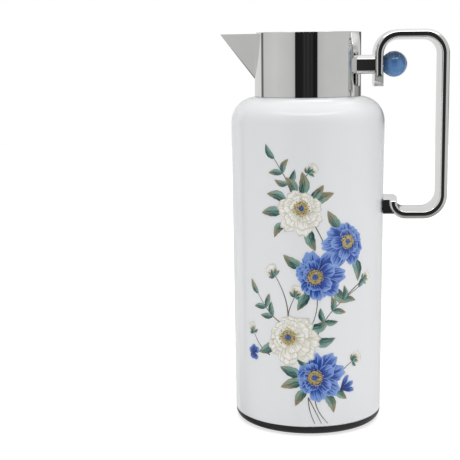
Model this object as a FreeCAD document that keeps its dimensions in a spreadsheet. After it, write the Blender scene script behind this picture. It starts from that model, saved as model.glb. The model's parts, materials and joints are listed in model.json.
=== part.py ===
"""Vacuum jug with a press-ball pouring valve, as a parametric FreeCAD document.

Millimetres, +Z up. The origin is the centre of the foot on the table. The spout points along -X and
the handle along +X. Each sub-part is an object of its own, and its label is the name of its STEP file.
"""
import FreeCAD, Part
import math
import os
import re
import Sketcher
from FreeCAD import Vector

# Driving dimensions. Each name has an underscore, so that an expression's words can be told apart.
SIZES = {
    "Casing": {
        "casing_foot_radius": 56.0, "casing_top_radius": 57.6, "casing_foot_height": 7.1,
        "casing_corner_height": 243.9, "casing_corner_round": 19.0, "casing_wall": 0.8,
        "casing_neck_radius": 38.6, "casing_neck_turn": 247.6, "casing_neck_top": 256.0,
        "casing_flange_radius": 51.7, "casing_foot_round": 1.2, "casing_neck_round": 0.3,
    },
    "Base": {
        "base_radius": 55.9, "base_round": 6.3, "base_lift": 0.6, "base_recess": 41.0,
        "base_recess_height": 4.0, "base_floor_top": 6.5, "base_neck_radius": 51.5, "base_neck_top": 16.0,
        "base_neck_wall": 2.0, "ring_inner": 43.5, "ring_outer": 47.5, "ring_height": 3.0,
        "retainer_radius": 54.8, "cushion_bore": 14.0, "cushion_radius": 49.2, "cushion_top": 24.0,
        "ring_edge_round": 0.8,
    },
    "Glass": {
        "glass_wall": 1.4, "outer_glass_radius": 51.2, "outer_glass_foot": 14.0, "outer_glass_round": 22.0,
        "outer_glass_corner": 236.0, "outer_neck_radius": 25.8, "glass_top": 243.4,
        "inner_glass_radius": 46.8, "inner_glass_foot": 19.5, "inner_glass_round": 18.0,
        "inner_glass_corner": 231.0, "inner_neck_radius": 22.7, "shoulder_round": 18.0, "neck_round": 4.0,
        "lip_round": 0.7, "tip_height": 9.6, "tip_radius": 2.6, "tip_flat": 1.2, "tip_round": 1.0,
        "spacer_height": 110.0, "spacer_tall": 14.0, "spacer_angle": 14.0,
        "seal_top": 246.2, "seal_bore": 21.7, "seal_radius": 27.5, "seal_skirt": 240.5, "seal_fit": 0.05,
    },
    "Collar": {
        "collar_radius": 39.7, "collar_wall": 1.0, "collar_foot": 247.6, "collar_top": 294.6,
        "spout_root": 34.0, "spout_reach": 65.4, "spout_half_width": 15.6, "spout_top": 293.6,
        "spout_keel": 242.6, "spout_fold": 4.2, "spout_wall_shift": 2.3,
        "liner_radius": 38.4, "liner_wall": 1.8, "liner_top": 283.5, "liner_floor": 251.0,
        "liner_floor_top": 253.0, "liner_neck_radius": 37.6, "tube_bore": 24.2, "tube_radius": 26.4,
        "tube_top": 258.0, "spout_gate_half": 12.0, "spout_gate_foot": 257.0, "spout_gate_round": 6.0,
        "spout_gate_inner": 30.0, "collar_lip_round": 0.6, "collar_lead": 0.4, "basin_round": 1.5,
        "tube_round": 1.0, "liner_fit": 0.3,
    },
    "Stopper": {
        "plug_bore": 19.0, "plug_neck_radius": 20.8, "plug_head_radius": 23.6, "plug_foot": 236.0,
        "plug_step": 248.0, "plug_top": 257.0, "plug_plate": 2.0, "seat_radius": 12.0,
        "spider_foot": 246.0, "spider_top": 250.0, "spider_hub": 5.6, "rib_width": 3.0, "rib_overlap": 1.0,
        "post_inner": 12.5, "post_outer": 17.5, "post_width": 5.0, "gasket_bore": 21.0,
        "gasket_foot": 246.3, "lid_radius": 38.2, "lid_foot": 283.7, "lid_plate_foot": 286.0,
        "lid_plate_top": 288.0, "lid_skirt_wall": 2.0, "cover_foot": 292.6, "cover_top": 294.2,
        "cover_sheet": 0.8, "lid_screw_circle": 15.0, "spider_fit": 0.08, "gasket_round": 0.4,
        "lid_edge_round": 0.6, "lid_well_round": 1.0, "cover_edge_round": 0.4, "cover_rim": 1.2,
        "cover_rim_foot": 2.0, "cover_dish_round": 0.5,
    },
    "Valve": {
        "stem_radius": 2.0, "stem_foot": 229.0, "stem_top": 276.5, "nut_corner": 4.0, "nut_height": 2.2,
        "disc_radius": 14.5, "disc_foot": 232.4, "disc_top": 234.6, "washer_top": 235.95,
        "hub_radius": 4.8, "hub_foot": 268.0, "hub_top": 273.0, "cone_bore": 19.2, "cone_radius": 23.7,
        "cone_foot": 269.0, "cone_edge": 273.0, "cone_top": 277.5, "arm_depth": 3.5,
        "valve_wire": 0.9, "valve_coil": 3.9, "valve_pitch": 3.2, "disc_round": 0.8, "washer_round": 0.4,
    },
    "Press": {
        "press_height": 270.5, "rod_radius": 2.5, "rod_tip": 24.2, "rod_end": 62.0, "shoulder_near": 47.2,
        "shoulder_far": 48.8, "shoulder_radius": 4.4, "ball_radius": 9.65, "ball_centre": 64.2,
        "bush_bore": 2.55, "bush_radius": 4.0, "bush_inner_end": 34.8, "bush_outer_end": 41.0,
        "bush_flange": 5.5, "bush_flange_far": 36.1, "bush_fit": 0.1, "spring_bore": 4.8,
        "rod_wire": 0.5, "rod_coil": 3.5, "rod_pitch": 1.7, "shoulder_edge_round": 0.4,
    },
    "Handle": {
        "strip_half_width": 17.5, "strip_edge": 5.8, "strip_round": 1.5, "strip_outer_round": 3.0,
        "strip_crown": 2.2,
        "strip_crown_round": 72.0, "strip_inner_end": 48.9, "strip_foot": 254.2, "strip_top": 295.8,
        "strip_outside": 103.4, "strip_bottom": 156.2, "strip_lug_end": 59.9, "strip_corner": 18.0,
        "strip_lug_corner": 13.0, "foot_round": 10.0, "lug_end_round": 3.0, "pocket_radius": 10.0,
        "pocket_floor": 50.2,
        "web_hole": 2.8, "arm_half_height": 6.8, "arm_round": 3.2, "arm_top_round": 4.6,
        "arm_start": 30.0,
        "lug_foot": 159.9, "lug_top": 171.1, "lug_start": 56.0, "lug_far": 75.0, "lug_seat": 57.15,
        "plate_near": 52.3, "plate_far": 54.2, "plate_half_width": 13.0, "pocket_depth": 14.0,
        "lug_foot_round": 1.0, "lug_top_round": 0.6,
    },
    "Screws": {
        "arm_screw_y": 10.0, "arm_screw_radius": 1.5, "arm_screw_head": 2.7, "arm_screw_head_near": 32.0,
        "arm_screw_head_far": 34.2, "arm_screw_end": 46.0, "grip_screw_y": 13.9, "grip_screw_radius": 1.25,
        "grip_screw_head": 2.2, "grip_screw_seat": 51.4, "grip_screw_head_far": 53.4,
        "grip_screw_end": 42.5, "lug_screw_y": 8.0, "lug_screw_z": 166.0, "lug_screw_radius": 2.0,
        "lug_screw_head": 3.4, "lug_screw_seat": 53.6, "lug_screw_end": 64.2,
        "lid_screw_radius": 1.4, "lid_screw_head": 2.6, "lid_screw_foot": 277.0,
        "lid_screw_neck": 0.5, "lid_screw_head_tall": 2.0, "screw_fit": 0.1, "cut_slack": 1.0,
    },
}

# How many times each spacer, rib, post, arm and lid screw is repeated round the jug.
REPEATS = 3

# A cut that takes away less than this, in cubic millimetres, has missed its body.
LEAST_CUT = 0.5

doc = FreeCAD.newDocument("vacuum_jug")
sheet = doc.addObject("Spreadsheet::Sheet", "Dims")
parts = {}


def fill_sheet():
    """One row for each size, under the heading of its group."""
    row = 1
    for group, sizes in SIZES.items():
        sheet.set(f"A{row}", group)
        row += 1
        for alias, size in sizes.items():
            sheet.set(f"A{row}", alias)
            sheet.set(f"B{row}", str(size))
            sheet.setAlias(f"B{row}", alias)
            row += 1
    doc.recompute()


def bound(text):
    """The expression with every size's name pointed at the sheet."""
    return re.sub(r"[a-z]+_\w+", r"Dims.\g<0>", str(text))


def size(text):
    """The expression's value, for a sketch's first guess."""
    return float(sheet.evalExpression(bound(text)))


def new_body(name):
    body = doc.addObject("PartDesign::Body", name)
    body.Label = name
    body.AllowCompound = True
    parts[name] = body
    return body


def sketch_on(body, role, offset=None):
    """An empty sketch on one of the body's own origin planes, or at an offset along its normal."""
    sketch = body.newObject("Sketcher::SketchObject", f"{body.Name}_sketch")
    plane = next(item for item in body.Origin.OriginFeatures if item.Role == role)
    sketch.AttachmentSupport = [(plane, "")]
    sketch.MapMode = "FlatFace"
    if offset is not None:
        sketch.setExpression("AttachmentOffset.Base.z", bound(offset))
    return sketch


def dimension(sketch, kind, places, text):
    """A constraint whose value is bound to an expression."""
    index = sketch.addConstraint(Sketcher.Constraint(kind, *places, size(text)))
    sketch.setExpression(f"Constraints[{index}]", bound(text))


def outline(sketch, corners, closed=True):
    """Straight runs through the corners (across, up) or (across, up, radius of a rounded corner)."""
    count = len(corners)
    points = [Vector(size(corner[0]), size(corner[1]), 0) for corner in corners]
    entry, leave = list(points), list(points)
    rounded = [i for i, corner in enumerate(corners) if len(corner) == 3]
    for i in rounded:
        before = (points[i - 1] - points[i]).normalize()
        after = (points[(i + 1) % count] - points[i]).normalize()
        reach = size(corners[i][2]) / abs(math.tan(before.getAngle(after) / 2))
        entry[i] = points[i] + before * reach
        leave[i] = points[i] + after * reach
    runs = count if closed else count - 1
    lines = []
    for i in range(runs):
        segment = Part.LineSegment(leave[i], entry[(i + 1) % count])
        lines.append(sketch.addGeometry(segment, False))
    for i, corner in enumerate(corners):
        into = lines[i - 1] if closed or i > 0 else None
        out = lines[i] if i < runs else None
        if i in rounded:
            round_corner(sketch, corner, points[i], entry[i], leave[i], into, out)
            continue
        if into is not None and out is not None:
            sketch.addConstraint(Sketcher.Constraint("Coincident", into, 2, out, 1))
        place = (out, 1) if out is not None else (into, 2)
        dimension(sketch, "DistanceX", (-1, 1, *place), corner[0])
        dimension(sketch, "DistanceY", (-1, 1, *place), corner[1])
    return sketch


def round_corner(sketch, corner, point, entry, leave, into, out):
    """An arc tangent to both runs, whose lines meet at the corner's own point."""
    across, up, radius = corner
    apex = sketch.addGeometry(Part.Point(point), True)
    dimension(sketch, "DistanceX", (-1, 1, apex, 1), across)
    dimension(sketch, "DistanceY", (-1, 1, apex, 1), up)
    inward = ((entry - point).normalize() + (leave - point).normalize()).normalize()
    half = (entry - point).getAngle(leave - point) / 2
    centre = point + inward * (size(radius) / math.sin(half))
    turn = (point - entry).cross(leave - point).z
    first, last = (entry, leave) if turn > 0 else (leave, entry)
    start = math.atan2(first.y - centre.y, first.x - centre.x)
    stop = math.atan2(last.y - centre.y, last.x - centre.x)
    circle = Part.Circle(centre, Vector(0, 0, 1), size(radius))
    arc = sketch.addGeometry(Part.ArcOfCircle(circle, start, stop), False)
    entry_end, leave_end = (1, 2) if turn > 0 else (2, 1)
    sketch.addConstraint(Sketcher.Constraint("Tangent", into, 2, arc, entry_end))
    sketch.addConstraint(Sketcher.Constraint("Tangent", out, 1, arc, leave_end))
    sketch.addConstraint(Sketcher.Constraint("PointOnObject", apex, 1, into))
    sketch.addConstraint(Sketcher.Constraint("PointOnObject", apex, 1, out))
    dimension(sketch, "Radius", (arc,), radius)


def circles(sketch, rounds):
    """Circles, each (across, up, radius)."""
    for across, up, radius in rounds:
        circle = Part.Circle(Vector(size(across), size(up), 0), Vector(0, 0, 1), size(radius))
        index = sketch.addGeometry(circle, False)
        dimension(sketch, "DistanceX", (-1, 1, index, 3), across)
        dimension(sketch, "DistanceY", (-1, 1, index, 3), up)
        dimension(sketch, "Radius", (index,), radius)
    return sketch


def turn(body, corners, cut=False, along_x=False, angle=None):
    """Turns the outline (radius, height) about Z, or (x, radius) about X. A part turn is centred."""
    sketch = outline(sketch_on(body, "XZ_Plane"), corners)
    kind = "PartDesign::Groove" if cut else "PartDesign::Revolution"
    turning = body.newObject(kind, f"{body.Name}_turning")
    turning.Profile = sketch
    turning.ReferenceAxis = (sketch, ["H_Axis" if along_x else "V_Axis"])
    if angle:
        turning.setExpression("Angle", bound(angle))
        turning.Midplane = True
    return turning


def extrude(body, sketch, length, cut=False, both_ways=False):
    """Pads the sketch along its normal, or pockets against it."""
    kind = "PartDesign::Pocket" if cut else "PartDesign::Pad"
    feature = body.newObject(kind, f"{body.Name}_{'pocket' if cut else 'pad'}")
    feature.Profile = sketch
    feature.setExpression("Length", bound(length))
    if both_ways:
        feature.SideType = "Symmetric"
    return feature


def pad(body, role, low, high, rounds=None, corners=None, cut=False):
    """A pad or pocket from low to high along the plane's normal."""
    sketch = sketch_on(body, role, high if cut else low)
    circles(sketch, rounds or [])
    if corners:
        outline(sketch, corners)
    return extrude(body, sketch, f"{high} - ({low})", cut)


def drill(body, role, low, high, rounds):
    """Round holes from low to high along the plane's normal."""
    return pad(body, role, low, high, rounds, cut=True)


def pair(offset, height, radius):
    """Two circles, one each side of the middle."""
    return [(offset, height, radius), (f"-({offset})", height, radius)]


def repeat_around(body, name, features, axis):
    """Repeats the features evenly round Z, about the named axis of the first one's sketch."""
    ring = body.newObject("PartDesign::PolarPattern", name)
    ring.Originals = features
    ring.Axis = (features[0].Profile[0], [axis])
    ring.Angle = 360
    ring.Occurrences = REPEATS
    body.Tip = ring


def coil(name, first_radius, pitch, length, wire):
    """A round-wire compression spring that stands on its body's XY plane."""
    body = new_body(name)
    sketch = circles(sketch_on(body, "XZ_Plane"), [(first_radius, f"{wire} / 2", f"{wire} / 2")])
    helix = body.newObject("PartDesign::AdditiveHelix", f"{name}_helix")
    helix.Profile = sketch
    helix.ReferenceAxis = (sketch, ["V_Axis"])
    helix.Mode = 0
    helix.setExpression("Pitch", bound(pitch))
    helix.setExpression("Height", bound(length))
    return body


def place(part, x=None, z=None, pitch=None):
    """Moves a finished sub-part along X and Z, and tips it about Y."""
    if pitch is not None:
        part.Placement = FreeCAD.Placement(Vector(0, 0, 0), FreeCAD.Rotation(Vector(0, 1, 0), pitch))
    if x is not None:
        part.setExpression("Placement.Base.x", bound(x))
    if z is not None:
        part.setExpression("Placement.Base.z", bound(z))


def make_base():
    turn(new_body("base_cap"), [
        (0, "base_recess_height"), ("base_recess", "base_recess_height"), ("base_recess", "base_lift"),
        ("ring_inner - screw_fit", "base_lift"), ("ring_inner - screw_fit", "ring_height"),
        ("ring_outer + screw_fit", "ring_height"), ("ring_outer + screw_fit", "base_lift"),
        ("base_radius", "base_lift", "base_round"), ("base_radius", "casing_foot_height"),
        ("base_neck_radius", "casing_foot_height"), ("base_neck_radius", "base_neck_top"),
        ("base_neck_radius - base_neck_wall", "base_neck_top"),
        ("base_neck_radius - base_neck_wall", "base_floor_top"), (0, "base_floor_top")])
    turn(new_body("foot_ring"), [
        ("ring_inner", 0, "ring_edge_round"), ("ring_outer", 0, "ring_edge_round"),
        ("ring_outer", "ring_height"), ("ring_inner", "ring_height")])
    retainer_foot = "casing_foot_height + casing_wall"
    turn(new_body("retaining_ring"), [
        ("casing_flange_radius", retainer_foot), ("retainer_radius", retainer_foot),
        ("retainer_radius", "base_neck_top"), ("casing_flange_radius", "base_neck_top")])
    cushion = new_body("base_cushion")
    turn(cushion, [
        ("cushion_bore", "base_floor_top"), ("cushion_radius", "base_floor_top"),
        ("cushion_radius", "cushion_top"), ("cushion_bore", "cushion_top")])
    turn(cushion, [
        (0, "outer_glass_foot"), ("outer_glass_radius", "outer_glass_foot", "outer_glass_round"),
        ("outer_glass_radius", "outer_glass_foot + 2 * outer_glass_round"),
        (0, "outer_glass_foot + 2 * outer_glass_round")], cut=True)


def make_casing():
    inner_top = "casing_corner_height - casing_wall"
    turn(new_body("body_casing"), [
        ("casing_flange_radius", "casing_foot_height"),
        ("casing_foot_radius", "casing_foot_height", "casing_foot_round"),
        ("casing_top_radius", "casing_corner_height", "casing_corner_round"),
        ("casing_neck_radius", "casing_neck_turn", "casing_neck_round"),
        ("casing_neck_radius", "casing_neck_top"),
        ("casing_neck_radius - casing_wall", "casing_neck_top"),
        ("casing_neck_radius - casing_wall", "casing_neck_turn - casing_wall",
         "casing_neck_round + casing_wall"),
        ("casing_top_radius - casing_wall", inner_top, "casing_corner_round - casing_wall"),
        ("casing_foot_radius - casing_wall", "casing_foot_height + casing_wall",
         "casing_foot_round - casing_wall"),
        ("casing_flange_radius", "casing_foot_height + casing_wall")])
    drill(parts["body_casing"], "YZ_Plane", "plate_near", "lug_far",
          pair("lug_screw_y", "lug_screw_z", "lug_screw_radius + screw_fit"))


def bottle(name, radius, foot, foot_round, corner, neck, top, tip=False):
    """A blown bottle's wall, with a domed foot and shoulder, and a sealing tip below the outer one."""
    wall = "glass_wall"
    outside = [(radius, foot, foot_round), (radius, corner, "shoulder_round"), (neck, corner, "neck_round"),
               (neck, top)]
    inside = [(f"{neck} - {wall}", top), (f"{neck} - {wall}", f"{corner} - {wall}", f"neck_round + {wall}"),
              (f"{radius} - {wall}", f"{corner} - {wall}", f"shoulder_round - {wall}"),
              (f"{radius} - {wall}", f"{foot} + {wall}", f"{foot_round} - {wall}"), (0, f"{foot} + {wall}")]
    start = [(0, foot)]
    if tip:
        start = [(0, "tip_height"), ("tip_flat", "tip_height"), ("tip_radius", foot, "tip_round")]
    return turn(new_body(name), start + outside + inside)


def make_glass():
    bottle("outer_glass_bottle", "outer_glass_radius", "outer_glass_foot", "outer_glass_round",
           "outer_glass_corner", "outer_neck_radius", "glass_top - glass_wall", tip=True)
    bottle("inner_glass_bottle", "inner_glass_radius", "inner_glass_foot", "inner_glass_round",
           "inner_glass_corner", "inner_neck_radius", "glass_top")
    turn(parts["inner_glass_bottle"], [
        ("inner_neck_radius - glass_wall / 2", "glass_top - glass_wall"),
        ("outer_neck_radius", "glass_top - glass_wall"), ("outer_neck_radius", "glass_top", "lip_round"),
        ("inner_neck_radius - glass_wall / 2", "glass_top")])
    spacers = new_body("glass_spacers")
    wedge = turn(spacers, [
        ("inner_glass_radius", "spacer_height"), ("outer_glass_radius - glass_wall", "spacer_height"),
        ("outer_glass_radius - glass_wall", "spacer_height + spacer_tall"),
        ("inner_glass_radius", "spacer_height + spacer_tall")], angle="spacer_angle")
    repeat_around(spacers, "spacers_ring", [wedge], "V_Axis")
    turn(new_body("neck_seal"), [
        ("seal_bore", "glass_top"), ("outer_neck_radius + seal_fit", "glass_top"),
        ("outer_neck_radius + seal_fit", "seal_skirt"),
        ("seal_radius", "seal_skirt"), ("seal_radius", "seal_top"), ("seal_bore", "seal_top")])


def spout_loft(body, shift, cut):
    """The folded-sheet spout: a rounded V that narrows to a point, moved along X by shift."""
    role = "YZ_Plane"
    section = sketch_on(body, role, f"{shift} - spout_root")
    outline(section, [
        (0, "spout_keel", "spout_fold"), ("spout_half_width", "spout_top"),
        ("-spout_half_width", "spout_top")])
    point = sketch_on(body, role, f"{shift} - spout_reach")
    index = point.addGeometry(Part.Point(Vector(0, size("spout_top"), 0)), False)
    dimension(point, "DistanceX", (-1, 1, index, 1), 0)
    dimension(point, "DistanceY", (-1, 1, index, 1), "spout_top")
    kind = "PartDesign::SubtractiveLoft" if cut else "PartDesign::AdditiveLoft"
    loft = body.newObject(kind, f"{body.Name}_spout")
    loft.Profile = section
    loft.Sections = [(point, [""])]
    return loft


def make_collar():
    collar = new_body("collar")
    turn(collar, [(0, "collar_foot"), ("collar_radius", "collar_foot"),
                  ("collar_radius", "collar_top", "collar_lip_round"), (0, "collar_top")])
    spout_loft(collar, 0, cut=False)
    bore = "collar_radius - collar_wall"
    turn(collar, [(0, "collar_foot"), (f"{bore} + collar_lead", "collar_foot"),
                  (bore, "collar_foot + 2 * collar_lead"), (bore, "collar_top"), (0, "collar_top")], cut=True)
    spout_loft(collar, "spout_wall_shift", cut=True)
    mouth = "spout_half_width * (spout_reach - spout_wall_shift - collar_radius) / (spout_reach - spout_root)"
    pad(collar, "XY_Plane", "spout_top - cut_slack", "collar_top + cut_slack", cut=True, corners=[
        ("-collar_radius - 2 * cut_slack", f"-{mouth}"), ("-spout_root", f"-{mouth}"),
        ("-spout_root", mouth), ("-collar_radius - 2 * cut_slack", mouth)])
    holes = [(0, "press_height", "bush_radius + bush_fit")]
    holes += pair("arm_screw_y", "press_height", "arm_screw_radius + screw_fit")
    drill(collar, "YZ_Plane", "arm_start", "bush_outer_end", holes)
    liner = new_body("collar_liner")
    turn(liner, [
        ("tube_bore", "seal_top"), ("seal_radius + liner_fit", "seal_top"),
        ("seal_radius + liner_fit", "liner_floor"),
        ("liner_neck_radius", "liner_floor"), ("liner_neck_radius", "casing_neck_top"),
        ("liner_radius", "casing_neck_top"), ("liner_radius", "liner_top"),
        ("liner_radius - liner_wall", "liner_top"),
        ("liner_radius - liner_wall", "liner_floor_top", "basin_round"),
        ("tube_radius", "liner_floor_top", "tube_round"), ("tube_radius", "tube_top"),
        ("tube_bore", "tube_top")])
    pad(liner, "YZ_Plane", "-collar_radius", "-spout_gate_inner", cut=True, corners=[
        ("-spout_gate_half", "liner_top + cut_slack"),
        ("-spout_gate_half", "spout_gate_foot", "spout_gate_round"),
        ("spout_gate_half", "spout_gate_foot", "spout_gate_round"),
        ("spout_gate_half", "liner_top + cut_slack")])
    drill(liner, "YZ_Plane", "arm_start", "bush_outer_end", holes)


def make_stopper():
    plug = new_body("stopper_plug")
    turn(plug, [
        ("seat_radius", "plug_foot"), ("plug_neck_radius", "plug_foot"), ("plug_neck_radius", "plug_step"),
        ("plug_head_radius", "plug_step"), ("plug_head_radius", "plug_top"), ("plug_bore", "plug_top"),
        ("plug_bore", "plug_foot + plug_plate"), ("seat_radius", "plug_foot + plug_plate")])
    turn(plug, [
        ("stem_radius + spider_fit", "spider_foot"), ("spider_hub", "spider_foot"),
        ("spider_hub", "spider_top"), ("stem_radius + spider_fit", "spider_top")])
    rib = pad(plug, "XY_Plane", "spider_foot", "spider_top", corners=[
        ("spider_hub - rib_overlap", "-rib_width / 2"), ("plug_bore + rib_overlap", "-rib_width / 2"),
        ("plug_bore + rib_overlap", "rib_width / 2"), ("spider_hub - rib_overlap", "rib_width / 2")])
    post = pad(plug, "XY_Plane", "spider_foot", "lid_plate_foot", corners=[
        ("post_inner", "-post_width / 2"), ("post_outer", "-post_width / 2"),
        ("post_outer", "post_width / 2"), ("post_inner", "post_width / 2")])
    bore = drill(plug, "XY_Plane", "lid_screw_foot - cut_slack", "lid_plate_foot",
                 [("lid_screw_circle", 0, "lid_screw_radius + screw_fit")])
    repeat_around(plug, "plug_ring", [rib, post, bore], "N_Axis")
    turn(new_body("stopper_gasket"), [
        ("gasket_bore", "gasket_foot"), ("plug_head_radius", "gasket_foot", "gasket_round"),
        ("plug_head_radius", "plug_step"), ("gasket_bore", "plug_step")])
    lid = new_body("lid_cap")
    turn(lid, [
        (0, "lid_plate_foot"), ("lid_radius - lid_skirt_wall", "lid_plate_foot"),
        ("lid_radius - lid_skirt_wall", "lid_foot"), ("lid_radius", "lid_foot", "lid_edge_round"),
        ("lid_radius", "cover_foot"), ("lid_radius - lid_skirt_wall", "cover_foot"),
        ("lid_radius - lid_skirt_wall", "lid_plate_top", "lid_well_round"), (0, "lid_plate_top")])
    hole = drill(lid, "XY_Plane", "lid_plate_foot - cut_slack", "lid_plate_top + cut_slack",
                 [("lid_screw_circle", 0, "lid_screw_radius + screw_fit")])
    repeat_around(lid, "lid_holes", [hole], "N_Axis")
    turn(new_body("lid_cover"), [
        (0, "cover_foot"), ("lid_radius", "cover_foot"), ("lid_radius", "cover_top", "cover_edge_round"),
        ("lid_radius - cover_rim", "cover_top", "cover_edge_round / 2"),
        ("lid_radius - cover_rim_foot", "cover_foot + cover_sheet", "cover_dish_round"),
        (0, "cover_foot + cover_sheet")])
    screws = new_body("lid_screws")
    around = [(f"lid_screw_circle * cos({turned})", f"lid_screw_circle * sin({turned})")
              for turned in (360 * index / REPEATS for index in range(REPEATS))]
    pad(screws, "XY_Plane", "lid_screw_foot", "lid_plate_top + lid_screw_neck",
        rounds=[(across, up, "lid_screw_radius") for across, up in around])
    pad(screws, "XY_Plane", "lid_plate_top", "lid_plate_top + lid_screw_head_tall",
        rounds=[(across, up, "lid_screw_head") for across, up in around])


def make_valve():
    turn(new_body("valve_disc"), [
        ("stem_radius", "disc_foot"), ("disc_radius", "disc_foot", "disc_round"), ("disc_radius", "disc_top"),
        ("stem_radius", "disc_top")])
    turn(new_body("valve_washer"), [
        ("stem_radius", "disc_top"), ("disc_radius", "disc_top"),
        ("disc_radius", "washer_top", "washer_round"), ("stem_radius", "washer_top")])
    turn(new_body("valve_stem"), [
        (0, "stem_foot"), ("stem_radius", "stem_foot"), ("stem_radius", "stem_top"), (0, "stem_top")])
    ring = new_body("valve_ring")
    turn(ring, [
        ("cone_bore", "cone_foot"), ("cone_radius", "cone_foot"), ("cone_radius", "cone_edge"),
        ("cone_bore", "cone_top")])
    turn(ring, [
        ("stem_radius", "hub_foot"), ("hub_radius", "hub_foot"), ("hub_radius", "hub_top"),
        ("stem_radius", "hub_top")])
    arm = pad(ring, "XY_Plane", "cone_foot", "cone_foot + arm_depth", corners=[
        ("-cone_bore - rib_overlap", "-rib_width / 2"), ("-hub_radius + rib_overlap", "-rib_width / 2"),
        ("-hub_radius + rib_overlap", "rib_width / 2"), ("-cone_bore - rib_overlap", "rib_width / 2")])
    repeat_around(ring, "ring_arms", [arm], "N_Axis")
    nuts = new_body("stem_nuts")
    hexagon = [(f"nut_corner * cos({60 * side})", f"nut_corner * sin({60 * side})") for side in range(6)]
    for low in ("disc_foot - nut_height", "hub_top"):
        pad(nuts, "XY_Plane", low, f"{low} + nut_height", rounds=[(0, 0, "stem_radius")], corners=hexagon)
    spring = coil("valve_spring", "valve_coil", "valve_pitch", "hub_foot - spider_top - valve_wire",
                  "valve_wire")
    place(spring, z="spider_top")


def make_press():
    rod = new_body("push_rod")
    turn(rod, [
        ("rod_tip", 0), ("rod_end", 0), ("rod_end", "rod_radius"), ("shoulder_far", "rod_radius"),
        ("shoulder_far", "shoulder_radius", "shoulder_edge_round"), ("shoulder_near", "shoulder_radius"),
        ("shoulder_near", "rod_radius"), ("rod_tip", "rod_radius")], along_x=True)
    wedge = sketch_on(rod, "XZ_Plane")
    outline(wedge, [
        ("rod_tip - cut_slack", "rod_radius + cut_slack"), ("rod_tip - cut_slack", "-rod_radius - cut_slack"),
        ("rod_tip + 2 * rod_radius + cut_slack", "-rod_radius - cut_slack")])
    extrude(rod, wedge, "4 * rod_radius", cut=True, both_ways=True)
    place(rod, z="press_height")
    ball = new_body("ball_knob")
    half = sketch_on(ball, "XZ_Plane")
    half_circle(half, "ball_centre", "ball_radius")
    turning = ball.newObject("PartDesign::Revolution", "ball_turning")
    turning.Profile = half
    turning.ReferenceAxis = (half, ["H_Axis"])
    drill(ball, "YZ_Plane", "ball_centre - 2 * ball_radius", "rod_end", [(0, 0, "rod_radius")])
    place(ball, z="press_height")
    bush = new_body("rod_bush")
    turn(bush, [
        ("bush_inner_end", "bush_bore"), ("bush_outer_end", "bush_bore"),
        ("bush_outer_end", "bush_radius"), ("bush_flange_far", "bush_radius"),
        ("bush_flange_far", "bush_flange"), ("bush_inner_end", "bush_flange")], along_x=True)
    place(bush, z="press_height")
    spring = coil("rod_spring", "rod_coil", "rod_pitch", "shoulder_near - bush_outer_end - rod_wire",
                  "rod_wire")
    place(spring, x="bush_outer_end", z="press_height", pitch=90)


def half_circle(sketch, centre, radius):
    """Half a disc above the sketch's horizontal axis."""
    middle = Vector(size(centre), 0, 0)
    arc = Part.ArcOfCircle(Part.Circle(middle, Vector(0, 0, 1), size(radius)), 0, math.pi)
    index = sketch.addGeometry(arc, False)
    reach = Vector(size(radius), 0, 0)
    line = sketch.addGeometry(Part.LineSegment(middle - reach, middle + reach), False)
    sketch.addConstraint(Sketcher.Constraint("Coincident", index, 2, line, 1))
    sketch.addConstraint(Sketcher.Constraint("Coincident", line, 2, index, 1))
    sketch.addConstraint(Sketcher.Constraint("PointOnObject", index, 3, -1))
    sketch.addConstraint(Sketcher.Constraint("PointOnObject", line, 1, -1))
    sketch.addConstraint(Sketcher.Constraint("PointOnObject", line, 2, -1))
    dimension(sketch, "DistanceX", (-1, 1, index, 3), centre)
    dimension(sketch, "Radius", (index,), radius)


def make_strip():
    """The flat strip bent into a C: its section swept along the run of its outer face."""
    strip = new_body("strip_blank")
    path = sketch_on(strip, "XZ_Plane")
    outline(path, [
        ("strip_inner_end", "strip_foot"), ("strip_inner_end", "strip_top", "strip_corner"),
        ("strip_outside", "strip_top", "strip_corner"), ("strip_outside", "strip_bottom", "strip_corner"),
        ("strip_lug_end", "strip_bottom", "strip_lug_corner"), ("strip_lug_end", "lug_top")], closed=False)
    section = sketch_on(strip, "XY_Plane", "strip_foot")
    inside = "strip_inner_end + strip_edge"
    outline(section, [
        ("strip_inner_end", "-strip_half_width", "strip_outer_round"),
        (inside, "-strip_half_width", "strip_round"),
        (f"{inside} + strip_crown", 0, "strip_crown_round"), (inside, "strip_half_width", "strip_round"),
        ("strip_inner_end", "strip_half_width", "strip_outer_round")])
    pipe = strip.newObject("PartDesign::AdditivePipe", "strip_pipe")
    pipe.Profile = section
    pipe.Spine = path
    pocket_end = "pocket_floor + pocket_depth"
    near = "strip_inner_end - cut_slack"
    drill(strip, "YZ_Plane", "pocket_floor", pocket_end, [(0, "press_height", "pocket_radius")])
    drill(strip, "YZ_Plane", near, "pocket_floor + cut_slack", [(0, "press_height", "web_hole")])
    grip = ("grip_screw_y", "press_height")
    drill(strip, "YZ_Plane", near, "grip_screw_seat + cut_slack",
          pair(*grip, "grip_screw_radius + screw_fit"))
    drill(strip, "YZ_Plane", "grip_screw_seat", pocket_end, pair(*grip, "grip_screw_head + screw_fit"))
    drill(strip, "YZ_Plane", "lug_start", "lug_screw_end + screw_fit",
          pair("lug_screw_y", "lug_screw_z", "lug_screw_radius + screw_fit"))
    return strip


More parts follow.
